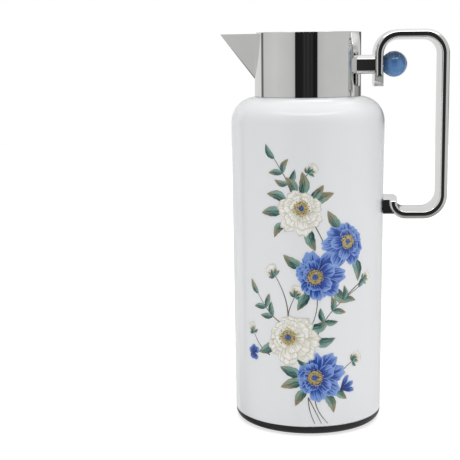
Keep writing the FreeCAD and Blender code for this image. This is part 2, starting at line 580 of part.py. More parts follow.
def corner_tool(name, radius, low, core_height, side):
    """What a rounded corner removes: a block across the strip, less a round core along X."""
    block = doc.addObject("Part::Box", f"block_{name}")
    block.setExpression("Length", bound("4 * strip_edge"))
    block.setExpression("Width", bound(f"{radius} + cut_slack"))
    block.setExpression("Height", bound(f"{radius} + cut_slack"))
    edge = f"strip_half_width - {radius}" if side > 0 else "-strip_half_width - cut_slack"
    block.setExpression("Placement.Base.x", bound("strip_inner_end - strip_edge"))
    block.setExpression("Placement.Base.y", bound(edge))
    block.setExpression("Placement.Base.z", bound(low))
    core = doc.addObject("Part::Cylinder", f"core_{name}")
    core.setExpression("Radius", bound(radius))
    core.setExpression("Height", bound("4 * strip_edge"))
    core.Placement = FreeCAD.Placement(Vector(0, 0, 0), FreeCAD.Rotation(Vector(0, 1, 0), 90))
    core.setExpression("Placement.Base.x", bound("strip_inner_end - strip_edge"))
    core.setExpression("Placement.Base.y", bound(f"{side} * (strip_half_width - {radius})"))
    core.setExpression("Placement.Base.z", bound(core_height))
    tool = doc.addObject("Part::Cut", f"tool_{name}")
    tool.Base = block
    tool.Tool = core
    return tool


def make_handle():
    """The strip with the corners of both its ends rounded."""
    blank = make_strip()
    tools = []
    for name, side in (("near", -1), ("far", 1)):
        tools.append(corner_tool(f"foot_{name}", "foot_round", "strip_foot - cut_slack",
                                 "strip_foot + foot_round", side))
        tools.append(corner_tool(f"lug_{name}", "lug_end_round", "lug_top - lug_end_round",
                                 "lug_top - lug_end_round", side))
    every = doc.addObject("Part::MultiFuse", "corner_tools")
    every.Shapes = tools
    handle = doc.addObject("Part::Cut", "handle_strip")
    handle.Label = "handle_strip"
    handle.Base = blank
    handle.Tool = every
    parts["handle_strip"] = handle
    del parts["strip_blank"]


def make_arm_and_lug():
    arm = new_body("handle_arm")
    low, high = "press_height - arm_half_height", "press_height + arm_half_height"
    pad(arm, "YZ_Plane", "arm_start", "strip_inner_end", corners=[
        ("-strip_half_width", low, "arm_round"), ("strip_half_width", low, "arm_round"),
        ("strip_half_width", high, "arm_top_round"), ("-strip_half_width", high, "arm_top_round")])
    drill(arm, "XY_Plane", f"{low} - cut_slack", f"{high} + cut_slack", [(0, 0, "collar_radius")])
    drill(arm, "YZ_Plane", "arm_start", "bush_outer_end + cut_slack",
          [(0, "press_height", "bush_radius + bush_fit")])
    drill(arm, "YZ_Plane", "bush_outer_end", "strip_inner_end", [(0, "press_height", "spring_bore")])
    drill(arm, "YZ_Plane", "arm_start", "arm_screw_end",
          pair("arm_screw_y", "press_height", "arm_screw_radius + screw_fit"))
    drill(arm, "YZ_Plane", "grip_screw_end", "strip_inner_end",
          pair("grip_screw_y", "press_height", "grip_screw_radius + screw_fit"))
    lug = new_body("lower_lug")
    pad(lug, "YZ_Plane", "lug_start", "lug_far", corners=[
        ("-strip_half_width", "lug_foot", "lug_foot_round"),
        ("strip_half_width", "lug_foot", "lug_foot_round"),
        ("strip_half_width", "lug_top", "lug_top_round"),
        ("-strip_half_width", "lug_top", "lug_top_round")])
    drill(lug, "XY_Plane", "lug_foot - cut_slack", "lug_top + cut_slack", [(0, 0, "lug_seat")])
    inside = outline(sketch_on(lug, "XZ_Plane"), [
        ("strip_lug_end", "lug_top + strip_lug_corner"),
        ("strip_lug_end", "strip_bottom", "strip_lug_corner"),
        ("lug_far + strip_lug_corner", "strip_bottom"),
        ("lug_far + strip_lug_corner", "lug_top + strip_lug_corner")])
    extrude(lug, inside, "3 * strip_half_width", cut=True, both_ways=True)
    drill(lug, "YZ_Plane", "lug_start", "lug_far",
          pair("lug_screw_y", "lug_screw_z", "lug_screw_radius + screw_fit"))
    plate = new_body("nut_plate")
    pad(plate, "YZ_Plane", "plate_near", "plate_far", corners=[
        ("-plate_half_width", "lug_foot"), ("plate_half_width", "lug_foot"),
        ("plate_half_width", "lug_top"), ("-plate_half_width", "lug_top")])
    drill(plate, "YZ_Plane", "lug_screw_seat - cut_slack", "plate_far + cut_slack",
          pair("lug_screw_y", "lug_screw_z", "lug_screw_radius + screw_fit"))
    drill(plate, "YZ_Plane", "plate_near - cut_slack", "lug_screw_seat",
          pair("lug_screw_y", "lug_screw_z", "lug_screw_head + screw_fit"))


def screw_pair(name, offset, height, shank, head, shank_low, shank_high, head_low, head_high):
    """Two screws along X, one each side of the middle: a shank and a round head."""
    screws = new_body(name)
    pad(screws, "YZ_Plane", shank_low, shank_high, rounds=pair(offset, height, shank))
    pad(screws, "YZ_Plane", head_low, head_high, rounds=pair(offset, height, head))


def make_screws():
    screw_pair("arm_screws", "arm_screw_y", "press_height", "arm_screw_radius", "arm_screw_head",
               "arm_screw_head_near", "arm_screw_end", "arm_screw_head_near", "arm_screw_head_far")
    screw_pair("handle_screws", "grip_screw_y", "press_height", "grip_screw_radius", "grip_screw_head",
               "grip_screw_end", "grip_screw_head_far", "grip_screw_seat", "grip_screw_head_far")
    screw_pair("lug_screws", "lug_screw_y", "lug_screw_z", "lug_screw_radius", "lug_screw_head",
               "plate_near", "lug_screw_end", "plate_near", "lug_screw_seat")


def check(written):
    """Stops with a plain message if any object failed or any sub-part has no sound solid."""
    cuts = ("PartDesign::Pocket", "PartDesign::Groove", "PartDesign::SubtractiveLoft")
    for item in doc.Objects:
        if "Invalid" in item.State or "Error" in item.State:
            raise RuntimeError(f"{item.Name} did not rebuild: {item.State}")
        if item.TypeId in cuts and item.BaseFeature.Shape.Volume - item.Shape.Volume < LEAST_CUT:
            raise RuntimeError(f"{item.Name} cuts nothing")
    for name, part in written.items():
        shape = part.Shape
        if shape.isNull() or not shape.isValid() or not shape.Solids:
            raise RuntimeError(f"{name} has no valid solid")


fill_sheet()
make_base()
make_casing()
make_glass()
make_collar()
make_stopper()
make_valve()
make_press()
make_handle()
make_arm_and_lug()
make_screws()
doc.recompute()
check(parts)
os.makedirs("parts", exist_ok=True)
for name, part in parts.items():
    part.Shape.exportStep(f"parts/{name}.step")
    print(f"{name}: {len(part.Shape.Solids)} solids, {part.Shape.Volume / 1000:.2f} cm3")
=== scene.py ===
"""Looks for the vacuum jug: photo-studio light, finishes for the CAD parts, and the painted flower spray.

Metres, in the frame of the CAD model: +Z up, the spout along -X, the handle along +X.
"""

import json
import math
import random

import bpy
from mathutils import Matrix, Vector


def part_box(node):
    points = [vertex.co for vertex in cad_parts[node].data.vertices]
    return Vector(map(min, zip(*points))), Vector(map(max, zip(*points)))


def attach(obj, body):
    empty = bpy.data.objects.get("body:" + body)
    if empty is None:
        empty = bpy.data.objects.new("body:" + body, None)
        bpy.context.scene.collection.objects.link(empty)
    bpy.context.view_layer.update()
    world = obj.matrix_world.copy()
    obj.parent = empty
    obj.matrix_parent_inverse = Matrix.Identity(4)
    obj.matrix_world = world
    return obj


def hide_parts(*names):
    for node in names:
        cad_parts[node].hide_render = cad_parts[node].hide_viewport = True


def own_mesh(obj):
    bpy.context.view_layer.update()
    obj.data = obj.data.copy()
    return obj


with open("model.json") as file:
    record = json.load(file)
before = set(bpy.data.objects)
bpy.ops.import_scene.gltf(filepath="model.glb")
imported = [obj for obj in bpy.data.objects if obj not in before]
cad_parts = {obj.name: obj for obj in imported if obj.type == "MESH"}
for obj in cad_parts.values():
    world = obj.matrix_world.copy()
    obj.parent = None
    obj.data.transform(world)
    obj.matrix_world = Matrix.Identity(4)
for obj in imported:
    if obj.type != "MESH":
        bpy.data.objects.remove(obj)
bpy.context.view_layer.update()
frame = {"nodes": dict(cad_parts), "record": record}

# The camera, fitted to the jug's outline in the photo.
CAMERA_AT = Vector((-0.0053, -0.8554, 0.2817))
CAMERA_YAW = math.radians(-3.633)
CAMERA_PITCH = math.radians(9.035)
CAMERA_ROLL = math.radians(-0.645)
CAMERA_LENS = 88.35
CAMERA_SENSOR = 36
CAMERA_NEAREST = 0.01

FLOOR_HALF = 2.5
FLOOR_THICKNESS = 0.01
FLOOR_GLOW = 0.7


# ---------------------------------------------------------------- node helpers

class Shader:
    """A node material with a Principled BSDF, and short calls for its common nodes."""

    def __init__(self, name, **constants):
        self.material = bpy.data.materials.new(name)
        self.material.use_nodes = True
        self.tree = self.material.node_tree
        self.bsdf = self.tree.nodes["Principled BSDF"]
        for socket, value in constants.items():
            self.bsdf.inputs[socket.replace("_", " ")].default_value = value

    def add(self, kind, **settings):
        node = self.tree.nodes.new(f"ShaderNode{kind}")
        for key, value in settings.items():
            setattr(node, key, value)
        return node

    def feed(self, socket, value):
        """Links an output to the socket, or sets the number on it."""
        if isinstance(value, bpy.types.NodeSocket):
            self.tree.links.new(value, socket)
        else:
            socket.default_value = value

    def math(self, operation, first, second=0.0, clamp=False):
        node = self.add("Math", operation=operation, use_clamp=clamp)
        self.feed(node.inputs[0], first)
        self.feed(node.inputs[1], second)
        return node.outputs[0]

    def place(self, stretch=(1, 1, 1)):
        """The row frame's own coordinates, stretched along each axis."""
        where = self.add("TexCoord").outputs["Object"]
        mapping = self.add("Mapping")
        self.feed(mapping.inputs["Vector"], where)
        mapping.inputs["Scale"].default_value = stretch
        return mapping.outputs["Vector"]

    def mark(self, name):
        """A number that the mesh carries at each of its points."""
        return self.add("Attribute", attribute_type="GEOMETRY", attribute_name=name).outputs["Fac"]

    def joined(self, *values):
        node = self.add("CombineXYZ")
        for socket, value in zip(node.inputs, values):
            self.feed(socket, value)
        return node.outputs[0]

    def noise(self, scale, detail=2.0, stretch=(1, 1, 1), vector=None):
        node = self.add("TexNoise")
        self.feed(node.inputs["Vector"], vector or self.place(stretch))
        node.inputs["Scale"].default_value = scale
        node.inputs["Detail"].default_value = detail
        return node.outputs["Fac"]

    def ramp(self, factor, stops, interpolation="LINEAR"):
        """A colour ramp; each stop is (position, grey) or (position, (r, g, b))."""
        node = self.add("ValToRGB")
        elements = node.color_ramp.elements
        node.color_ramp.interpolation = interpolation
        while len(elements) < len(stops):
            elements.new(1.0)
        for element, (position, colour) in zip(elements, stops):
            element.position = position
            element.color = (*colour, 1) if isinstance(colour, tuple) else (colour, colour, colour, 1)
        self.feed(node.inputs["Fac"], factor)
        return node.outputs["Color"]

    def mix(self, factor, first, second, blend="MIX"):
        node = self.add("Mix", data_type="RGBA", blend_type=blend)
        self.feed(node.inputs[0], factor)
        for socket, value in ((node.inputs[6], first), (node.inputs[7], second)):
            self.feed(socket, (*value, 1) if isinstance(value, tuple) else value)
        return node.outputs[2]

    def colour(self, value):
        self.feed(self.bsdf.inputs["Base Color"], value)

    def roughness(self, factor, low, high):
        span = self.add("MapRange")
        self.feed(span.inputs["Value"], factor)
        span.inputs["To Min"].default_value = low
        span.inputs["To Max"].default_value = high
        self.feed(self.bsdf.inputs["Roughness"], span.outputs["Result"])

    def bump(self, height, distance, strength=1.0):
        node = self.add("Bump")
        node.inputs["Strength"].default_value = strength
        node.inputs["Distance"].default_value = distance
        self.feed(node.inputs["Height"], height)
        self.feed(self.bsdf.inputs["Normal"], node.outputs["Normal"])


# ---------------------------------------------------------------- finishes

def white_lacquer():
    """Stove lacquer: almost even white under a clear gloss, with a faint orange peel."""
    shader = Shader("white_lacquer", Coat_Weight=1.0, Coat_Roughness=0.03, Specular_IOR_Level=0.1)
    cloud = shader.noise(18, 3)
    shader.colour(shader.ramp(cloud, [(0.2, (0.838, 0.852, 0.868)), (0.8, (0.844, 0.858, 0.874))]))
    shader.roughness(shader.noise(300, 2), 0.28, 0.32)
    shader.bump(shader.noise(1200, 1), 0.00001, 0.06)
    return shader.material


def chrome_plate():
    """Polished plate, with the faint waves and wipe marks that polishing leaves."""
    shader = Shader("chrome_plate", Metallic=1.0)
    shader.colour(shader.ramp(shader.noise(35, 3), [(0.3, (0.84, 0.84, 0.83)), (0.7, (0.89, 0.89, 0.88))]))
    shader.roughness(shader.noise(90, 4), 0.015, 0.05)
    shader.bump(shader.noise(60, 1), 0.00003, 0.15)
    return shader.material


def moulded_plastic(name, dark, light, rough_low, rough_high, grain=1800):
    """Moulded plastic or rubber: two close tones, a fine spark-eroded grain and worn patches of gloss."""
    shader = Shader(name, Specular_IOR_Level=0.45)
    shader.colour(shader.ramp(shader.noise(55, 4), [(0.35, dark), (0.65, light)]))
    shader.roughness(shader.noise(120, 3), rough_low, rough_high)
    shader.bump(shader.noise(grain, 2), 0.00005, 0.35)
    return shader.material


def clear_silicone():
    shader = Shader("clear_silicone", Subsurface_Weight=0.25, Specular_IOR_Level=0.4)
    shader.bsdf.inputs["Subsurface Radius"].default_value = (0.004, 0.004, 0.004)
    shader.colour(shader.ramp(shader.noise(120, 3), [(0.3, (0.74, 0.74, 0.72)), (0.7, (0.84, 0.84, 0.82))]))
    shader.roughness(shader.noise(300, 2), 0.35, 0.5)
    shader.bump(shader.noise(900, 2), 0.00003, 0.3)
    return shader.material


def silvered_glass():
    shader = Shader("silvered_glass", Metallic=1.0, Coat_Weight=1.0, Coat_Roughness=0.01)
    shader.colour(shader.ramp(shader.noise(30, 4), [(0.3, (0.80, 0.79, 0.76)), (0.75, (0.90, 0.89, 0.87))]))
    shader.roughness(shader.noise(45, 3), 0.02, 0.08)
    shader.bump(shader.noise(25, 2), 0.0002, 0.2)
    return shader.material


def mineral_felt():
    shader = Shader("mineral_felt", Roughness=0.95, Sheen_Weight=0.3)
    fibres = shader.noise(900, 6)
    shader.colour(shader.ramp(fibres, [(0.3, (0.42, 0.38, 0.32)), (0.7, (0.68, 0.64, 0.56))]))
    shader.bump(fibres, 0.0003, 0.8)
    return shader.material


def turned_steel():
    """Steel with the fine rings of a lathe about the jug's axis, and a soft sheen across them."""
    shader = Shader("satin_steel", Metallic=1.0)
    split = shader.add("SeparateXYZ")
    shader.feed(split.inputs[0], shader.place())
    across = shader.math("POWER", split.outputs[0], 2)
    along = shader.math("POWER", split.outputs[1], 2)
    radius = shader.math("SQRT", shader.math("ADD", across, along))
    lines = shader.noise(2600, 3, vector=shader.joined(radius, split.outputs[2]))
    shader.colour(shader.ramp(lines, [(0.3, (0.62, 0.62, 0.61)), (0.7, (0.78, 0.78, 0.77))]))
    shader.roughness(lines, 0.16, 0.34)
    shader.bump(lines, 0.00002, 0.3)
    return shader.material


def blue_gloss():
    """Solid-coloured resin, polished: a slight cloud in the blue under a clear surface."""
    shader = Shader("blue_gloss", Coat_Weight=1.0, Coat_Roughness=0.06, Specular_IOR_Level=0.5)
    cloud = shader.noise(240, 4)
    shader.colour(shader.ramp(cloud, [(0.3, (0.080, 0.225, 0.50)), (0.7, (0.100, 0.262, 0.56))]))
    shader.roughness(shader.noise(160, 2), 0.12, 0.22)
    shader.bump(shader.noise(500, 2), 0.00002, 0.2)
    return shader.material


def finish_cad_parts():
    """Gives each CAD node the finish of its material slot in the record."""
    finishes = {
        "white_lacquer": white_lacquer(),
        "chrome_plate": chrome_plate(),
        "black_plastic": moulded_plastic("black_plastic", (0.010, 0.010, 0.011), (0.020, 0.020, 0.021),
                                         0.28, 0.42),
        "black_rubber": moulded_plastic("black_rubber", (0.018, 0.018, 0.018), (0.035, 0.035, 0.034),
                                        0.6, 0.8, 900),
        "grey_plastic": moulded_plastic("grey_plastic", (0.17, 0.175, 0.18), (0.21, 0.215, 0.22), 0.32, 0.46),
        "silvered_glass": silvered_glass(),
        "mineral_felt": mineral_felt(),
        "clear_silicone": clear_silicone(),
        "satin_steel": turned_steel(),
        "blue_gloss": blue_gloss(),
    }
    for part in frame["record"]["subparts"]:
        slots = frame["nodes"][part["node"]].material_slots
        for slot in slots:
            slot.material = finishes[part["material_slot"]]


# ---------------------------------------------------------------- springs

def make_spring(node, body, axis):
    """A copy of the CAD coil that stands for it, carried by the given body."""
    low, high = (Vector(corner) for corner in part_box(node))
    length = (high - low).dot(Vector(axis))
    source = frame["nodes"][node]
    spring = bpy.data.objects.new(f"{node}_coil", source.data.copy())
    bpy.context.scene.collection.objects.link(spring)
    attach(spring, body)
    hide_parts(node)
    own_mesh(spring)


def make_springs():
    make_spring("rod_spring", "jug", (1, 0, 0))
    make_spring("valve_spring", "stopper", (0, 0, 1))


# ---------------------------------------------------------------- painted flowers
# The spray is drawn flat in millimetres: how far round the casing from its front, towards the handle, and
# how high. wrapped() then lays it on the casing.

MM = 0.001
PAINT_LIFT = 0.04 * MM
COAT_OF_PAINT = 0.012 * MM
CELL = 1.3
LEAF_COATS = 6
STEM_HALF_WIDTH = 0.32
ANTHERS = 26
ANTHER_RADIUS = 0.55
DOT_SIDES = 8
SCREEN_GAMMA = 2.2
scatter = random.Random(11)


def print_colour(red, green, blue):
    """A printing ink, given as it looks on a screen (0 to 255), as the linear colour that a shader takes."""
    return tuple((level / 255) ** SCREEN_GAMMA for level in (red, green, blue))


def casing_side():
    """The casing's straight side: the (radius, height) of its low and its high end."""
    places = [vertex.co for vertex in frame["nodes"]["body_casing"].data.vertices]
    rings = [(math.hypot(place.x, place.y), place.z) for place in places]
    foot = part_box("body_casing")[0][2]
    return max(ring for ring in rings if ring[1] < foot + 10 * MM), max(rings)


SIDE_LOW, SIDE_HIGH = casing_side()


def wrapped(arc, height, coat):
    """A point of the flat drawing as it lies on the casing, in metres, so many coats of paint up."""
    rise = (height * MM - SIDE_LOW[1]) / (SIDE_HIGH[1] - SIDE_LOW[1])
    radius = SIDE_LOW[0] + rise * (SIDE_HIGH[0] - SIDE_LOW[0])
    angle = arc * MM / SIDE_HIGH[0]
    proud = radius + PAINT_LIFT + coat * COAT_OF_PAINT
    return proud * math.sin(angle), -proud * math.cos(angle), height * MM


def stepped(point, heading, distance, aside=0.0):
    """The point this far along a heading (degrees, 0 to the right and 90 up) and this far to its right."""
    turn = math.radians(heading)
    return (point[0] + distance * math.cos(turn) + aside * math.sin(turn),
            point[1] + distance * math.sin(turn) - aside * math.cos(turn))


class Painting:
    """Strokes of one ink family on the casing, gathered into one piece."""

    def __init__(self, name, material, coat):
        self.name = name
        self.material = material
        self.coat = coat
        self.points = []
        self.faces = []
        self.marks = {"along": [], "across": [], "shade": []}

    def stroke(self, place, length, width, shade):
        """A grid of small cells; place() puts along, 0 to 1, and across, -1 to 1, on the flat drawing."""
        rows = max(3, math.ceil(length / CELL))
        columns = max(2, 2 * math.ceil(width / CELL / 2))
        start = len(self.points)
        for row in range(rows + 1):
            for column in range(columns + 1):
                along = row / rows
                across = 2 * column / columns - 1
                self.points.append(wrapped(*place(along, across), self.coat))
                for marks, value in zip(self.marks.values(), (along, across, shade)):
                    marks.append(value)
        for row in range(rows):
            for column in range(columns):
                corner = start + row * (columns + 1) + column
                above = corner + columns + 1
                self.faces.append((corner, corner + 1, above + 1, above))
        self.coat += 1

    def dot(self, centre, radius, shade):
        start = len(self.points)
        for side in range(DOT_SIDES):
            self.points.append(wrapped(*stepped(centre, 360 * side / DOT_SIDES, radius), self.coat))
            for marks, value in zip(self.marks.values(), (1.0, 0.0, shade)):
                marks.append(value)
        self.faces.append(tuple(range(start, start + DOT_SIDES)))

    def finish(self):
        mesh = bpy.data.meshes.new(self.name)
        mesh.from_pydata(self.points, [], self.faces)
        mesh.shade_smooth()
        for name, values in self.marks.items():
            mesh.attributes.new(name, "FLOAT", "POINT").data.foreach_set("value", values)
        mesh.materials.append(self.material)
        piece = bpy.data.objects.new(self.name, mesh)
        bpy.context.scene.collection.objects.link(piece)
        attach(piece, "jug")


def glaze(name):
    return Shader(name, Coat_Weight=1.0, Coat_Roughness=0.03, Specular_IOR_Level=0.1)


def petal_glaze(name, deep, middle, pale, rim):
    """Brushed from a deep heart to a pale tip, streaked along the petal, with a fine painted rim."""
    shader = glaze(name)
    along, across, shade = (shader.mark(mark) for mark in ("along", "across", "shade"))
    streaks = shader.noise(7, 4, vector=shader.joined(across, shader.math("MULTIPLY", along, 0.3),
                                                      shader.math("MULTIPLY", shade, 40)))
    spread = shader.math("ADD", shader.math("MULTIPLY", along, 0.58), shader.math("MULTIPLY", streaks, 0.85))
    tone = shader.math("ADD", spread, shader.math("MULTIPLY", shade, 0.06))
    body = shader.ramp(tone, [(0.48, deep), (0.84, middle), (1.0, pale)])
    margin = shader.math("MAXIMUM", shader.math("ABSOLUTE", across), along)
    shader.colour(shader.mix(shader.ramp(margin, [(0.90, 0.0), (0.98, 0.7)]), body, rim))
    shader.roughness(streaks, 0.25, 0.4)
    return shader.material


def leaf_glaze():
    """Teal halves either side of a pale midrib, with fine side veins, turning tan towards tip and edge."""
    shader = glaze("leaf_ink")
    along, across, shade = (shader.mark(mark) for mark in ("along", "across", "shade"))
    off_rib = shader.math("ABSOLUTE", across)
    wash = shader.noise(3.5, 4, vector=shader.joined(across, along, shader.math("MULTIPLY", shade, 30)))
    halves = shader.ramp(shader.math("ADD", shader.math("MULTIPLY", across, 0.35), wash),
                         [(0.25, print_colour(44, 84, 82)), (0.80, print_colour(140, 178, 166))])
    swept = shader.math("SUBTRACT", shader.math("MULTIPLY", along, 50), shader.math("MULTIPLY", off_rib, 12))
    veins = shader.ramp(shader.math("SINE", swept), [(0.75, 0.0), (1.0, 0.35)])
    veined = shader.mix(veins, halves, print_colour(45, 78, 76))
    outward = shader.math("ADD", along, shader.math("MULTIPLY", off_rib, 0.3))
    ageing = shader.math("ADD", shader.math("MULTIPLY", shade, 0.55), shader.math("MULTIPLY", wash, 0.4))
    turning = shader.math("ADD", outward, ageing)
    ripe = shader.mix(shader.ramp(shader.math("MULTIPLY", turning, 0.5), [(0.60, 0.0), (0.88, 0.9)]), veined,
                      print_colour(168, 148, 112))
    rib = shader.ramp(off_rib, [(0.03, 0.8), (0.10, 0.0)])
    lined = shader.mix(rib, ripe, print_colour(70, 74, 58))
    edge = shader.ramp(off_rib, [(0.86, 0.0), (0.98, 0.6)])
    shader.colour(shader.mix(edge, lined, print_colour(80, 92, 80)))
    shader.roughness(wash, 0.25, 0.4)
    return shader.material


def speckled_glaze(name, dark, light):
    shader = glaze(name)
    grain = shader.noise(900, 3)
    shader.colour(shader.ramp(grain, [(0.35, dark), (0.65, light)]))
    shader.roughness(grain, 0.25, 0.4)
    return shader.material


def curve(start, bend, end, along):
    """The point and heading on a quadratic curve."""
    back = 1 - along
    point = tuple(back * back * a + 2 * back * along * b + along * along * c
                  for a, b, c in zip(start, bend, end))
    slope = [back * (b - a) + along * (c - b) for a, b, c in zip(start, bend, end)]
    return point, math.degrees(math.atan2(slope[1], slope[0]))


def paint_stem(stems, start, bend, end):
    def place(along, across):
        point, heading = curve(start, bend, end, along)
        return stepped(point, heading, 0, across * STEM_HALF_WIDTH * (1.3 - 0.6 * along))
    stems.stroke(place, math.dist(start, bend) + math.dist(bend, end), 2 * STEM_HALF_WIDTH, scatter.random())
    stems.coat %= LEAF_COATS


def paint_leaf(leaves, root, heading, length, width, first_coat=LEAF_COATS):
    """A pointed leaf with a bowed midrib and a slightly toothed edge."""
    bow = scatter.uniform(-0.16, 0.16) * length
    shade = scatter.random()

    def place(along, across):
        half = width / 2 * math.sin(math.pi * along ** 0.8) ** 0.85 * (1 + 0.05 * math.sin(24 * along)) + 0.08
        return stepped(root, heading, length * along, bow * math.sin(math.pi * along) + across * half)
    leaves.stroke(place, length, width, shade)
    leaves.coat = first_coat + (leaves.coat - first_coat) % LEAF_COATS


def paint_petal(paint, heart, heading, reach, width):
    """A broad petal: narrow at the heart of the flower, full and softly scalloped at its tip."""
    shade = scatter.random()
    lean = scatter.uniform(-0.10, 0.10) * width

    def place(along, across):
        round_tip = along * (1 - 0.24 * along * abs(across) ** 2.6)
        scallop = 0.04 * along ** 4 * math.cos(8 * across + 12 * shade)
        half = width / 2 * (0.14 + 0.86 * math.sin(math.radians(104) * along))
        return stepped(heart, heading, reach * (round_tip + scallop), lean * along + across * half)
    paint.stroke(place, reach, width, shade)


def reach_towards(heading, lean):
    """How far a flower reaches on one side, as a share of its size, when it leans to another."""
    return 0.84 + 0.26 * math.cos(math.radians(heading - lean))


def paint_bloom(name, petals, heart, size, lean, rings):
    """A full flower whose petals reach further on the side it leans to, ring upon ring."""
    paint = Painting(name, petals, 2 * LEAF_COATS)
    for count, reach, width, offset in rings:
        for index in range(count):
            heading = offset + 360 * index / count + scatter.uniform(-7, 7)
            paint_petal(paint, heart, heading, size * reach * reach_towards(heading, lean), size * width)
    paint.finish()
    return paint.coat


def paint_ring(paint, heart, inner, outer):
    def ring(along, across):
        return stepped(heart, -180 * across, inner + along * (outer - inner))
    paint.stroke(ring, outer - inner, 2 * math.pi * outer, 0.5)


def paint_heart(name, heart, size, coat, anthers, middle):
    """A ring of anthers round a small seed head."""
    seed = Painting(f"{name}_seeds", middle, coat)
    paint_ring(seed, heart, 0.01 * size, 0.14 * size)
    seed.finish()
    paint = Painting(name, anthers, seed.coat)
    paint_ring(paint, heart, 0.11 * size, 0.26 * size)
    for index in range(ANTHERS):
        place = stepped(heart, 360 * index / ANTHERS, scatter.uniform(0.22, 0.34) * size)
        paint.dot(place, ANTHER_RADIUS, scatter.random())
    paint.finish()


def paint_bud(leaves, petals, root, heading, size):
    """A closed bud: three petals in a cup of green sepals."""
    for turn in (-20, 20, 0):
        paint_petal(petals, root, heading + turn, size, size * 0.62)
    petals.coat = 2 * LEAF_COATS
    for turn in (-75, 70, -32, 30, 0):
        paint_leaf(leaves, root, heading + turn, size * 0.62, size * 0.26, 3 * LEAF_COATS)
    leaves.coat = LEAF_COATS


def paint_sprig(stems, leaves, start, bend, end, pairs, length):
    """A twig with leaves in pairs along its outer part and one at its tip."""
    paint_stem(stems, start, bend, end)
    for index in range(pairs):
        point, heading = curve(start, bend, end, 0.35 + 0.6 * index / pairs)
        for side in (-1, 1):
            paint_leaf(leaves, point, heading + side * scatter.uniform(42, 60), length, 0.40 * length)
    point, heading = curve(start, bend, end, 1.0)
    paint_leaf(leaves, point, heading, 1.15 * length, 0.42 * length)


PEONY = [(8, 1.06, 0.72, 0), (7, 0.82, 0.64, 20), (5, 0.58, 0.56, 5)]
ANEMONE = [(8, 1.06, 0.66, 10), (5, 0.72, 0.52, 32)]

# Each flower: its kind, the place of its heart, the reach of its petals, the side that it leans to, and the
# headings of its leaves.
FLOWERS = [
    ("white", (-5, 170), 18, 250, (20, 45, 85, 115, 155, 190, 225, 290)),
    ("blue", (30, 145), 18, 220, (120, 290)),
    ("blue", (5, 120), 20, 20, (140, 235, 330)),
    ("white", (-15, 75), 21, 330, (25, 355, 205)),
    ("blue", (5, 45), 20, 10, (135, 170, 200, 235, 300, 330)),
]

# Twigs that carry leaves: where each starts, how it bends, where it ends, pairs of leaves, leaf length.
SPRIGS = [
    ((-10, 180), (-15, 190), (-25, 205), 2, 11),
    ((-20, 85), (-30, 90), (-40, 105), 2, 11),
    ((5, 70), (10, 95), (40, 110), 3, 11),
]

# Twigs that carry a bud: where each starts, how it bends, where it ends, and the size of the bud.
BUDS = [
    ((-5, 180), (-5, 190), (0, 195), 8),
    ((-15, 90), (-15, 105), (-25, 120), 9),
    ((-15, 90), (-15, 95), (-10, 105), 9),
    ((-30, 60), (-40, 65), (-45, 75), 8),
    ((20, 40), (25, 50), (35, 55), 9),
    ((30, 105), (35, 110), (45, 115), 8),
]

# The stems that join the flowers, the bare ones below the last flower, and one out to the side.
STEMS = [
    ((0, 165), (10, 150), (15, 135)), ((25, 140), (20, 135), (15, 130)), ((5, 115), (10, 95), (0, 80)),
    ((0, 30), (0, 20), (5, 10)), ((5, 30), (5, 20), (15, 10)), ((0, 30), (5, 20), (10, 10)),
    ((10, 30), (20, 30), (30, 35)),
]

# Loose petals with no heart: their root, their headings, their reach and their width.
FLORETS = [((-45, 60), (100, 160, 230, 290, 30), 6, 5), ((25, 35), (20, 60, -10), 12, 4)]


def paint_flowers():
    """The spray of painted flowers: stems under leaves, leaves under flowers."""
    blue = petal_glaze("blue_petal_ink", print_colour(14, 28, 90), print_colour(46, 80, 166),
                       print_colour(126, 158, 218), print_colour(152, 178, 230))
    white = petal_glaze("white_petal_ink", print_colour(158, 152, 120), print_colour(226, 223, 208),
                        print_colour(250, 249, 244), print_colour(190, 187, 172))
    anthers = speckled_glaze("anther_ink", print_colour(112, 98, 56), print_colour(206, 188, 128))
    seeds = speckled_glaze("seed_ink", print_colour(48, 68, 130), print_colour(90, 112, 176))
    bark = speckled_glaze("bark_ink", print_colour(78, 66, 58), print_colour(126, 112, 92))
    stems = Painting("paint_stems", bark, 0)
    leaves = Painting("paint_leaves", leaf_glaze(), LEAF_COATS)
    buds = Painting("paint_buds", white, 2 * LEAF_COATS)
    for stem in STEMS:
        paint_stem(stems, *stem)
    for start, bend, end, pairs, length in SPRIGS:
        paint_sprig(stems, leaves, start, bend, end, pairs, length)
    for start, bend, end, size in BUDS:
        paint_stem(stems, start, bend, end)
        paint_bud(leaves, buds, end, curve(start, bend, end, 1.0)[1], size)
    for index, (kind, heart, size, lean, headings) in enumerate(FLOWERS, 1):
        for heading in headings:
            length = scatter.uniform(14, 19)
            root = stepped(heart, heading, 0.8 * size * reach_towards(heading, lean))
            paint_leaf(leaves, root, heading + scatter.uniform(-14, 14), length, 0.42 * length)
        petals, rings = (white, PEONY) if kind == "white" else (blue, ANEMONE)
        coat = paint_bloom(f"paint_bloom_{index}", petals, heart, size, lean, rings)
        paint_heart(f"paint_heart_{index}", heart, size, coat, anthers, seeds)
    floret = Painting("paint_floret", blue, 2 * LEAF_COATS)
    for root, headings, reach, width in FLORETS:
        for heading in headings:
            paint_petal(floret, root, heading, reach, width)
    for painting in (stems, leaves, buds, floret):
        painting.finish()


# ---------------------------------------------------------------- studio

